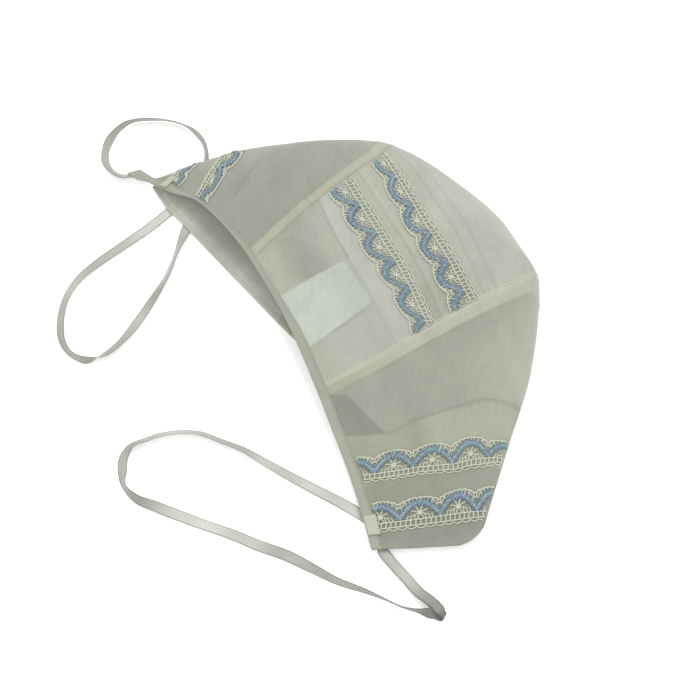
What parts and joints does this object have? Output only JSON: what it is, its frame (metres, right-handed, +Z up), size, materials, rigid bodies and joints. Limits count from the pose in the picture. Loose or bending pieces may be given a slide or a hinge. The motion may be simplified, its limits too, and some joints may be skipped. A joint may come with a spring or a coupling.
{
  "type": "baby bonnet",
  "caption": "Sheer cloth baby bonnet with scalloped lace bands and satin ribbon ties, folded and lying on a surface.",
  "frame": {"origin": "bottom centre of the lying bonnet's own box, without the ribbon ties, on the surface it lies on", "axes": "+Z up from the surface; -Y out of the face opening; +Y towards the folded back; X along the line between the two chin corners, +X towards the open flap"},
  "size_m": [0.3909, 0.2596, 0.0511],
  "materials": {
    "sheer_cloth": "sheer crisp cotton, slightly see-through",
    "binding_cloth": "the same cloth folded and stitched",
    "cotton_lace": "cream and pale blue cotton lace",
    "satin_ribbon": "pale satin",
    "label_tape": "smooth woven tape, bare"
  },
  "bodies": {
    "root": {"centre_panel": "sheer_cloth", "side_panel_left": "sheer_cloth", "side_panel_right": "sheer_cloth", "front_binding": "binding_cloth", "seam_strip_left": "binding_cloth", "seam_strip_right": "binding_cloth", "centre_lace_front": "cotton_lace", "centre_lace_back": "cotton_lace", "left_lace_lower": "cotton_lace", "left_lace_upper": "cotton_lace", "right_lace_upper": "cotton_lace", "right_lace_lower": "cotton_lace", "care_label": "label_tape", "tie_tab_left": "satin_ribbon", "tie_tab_right": "satin_ribbon", "ribbon_left": "satin_ribbon", "ribbon_right": "satin_ribbon"}
  },
  "joints": []
}
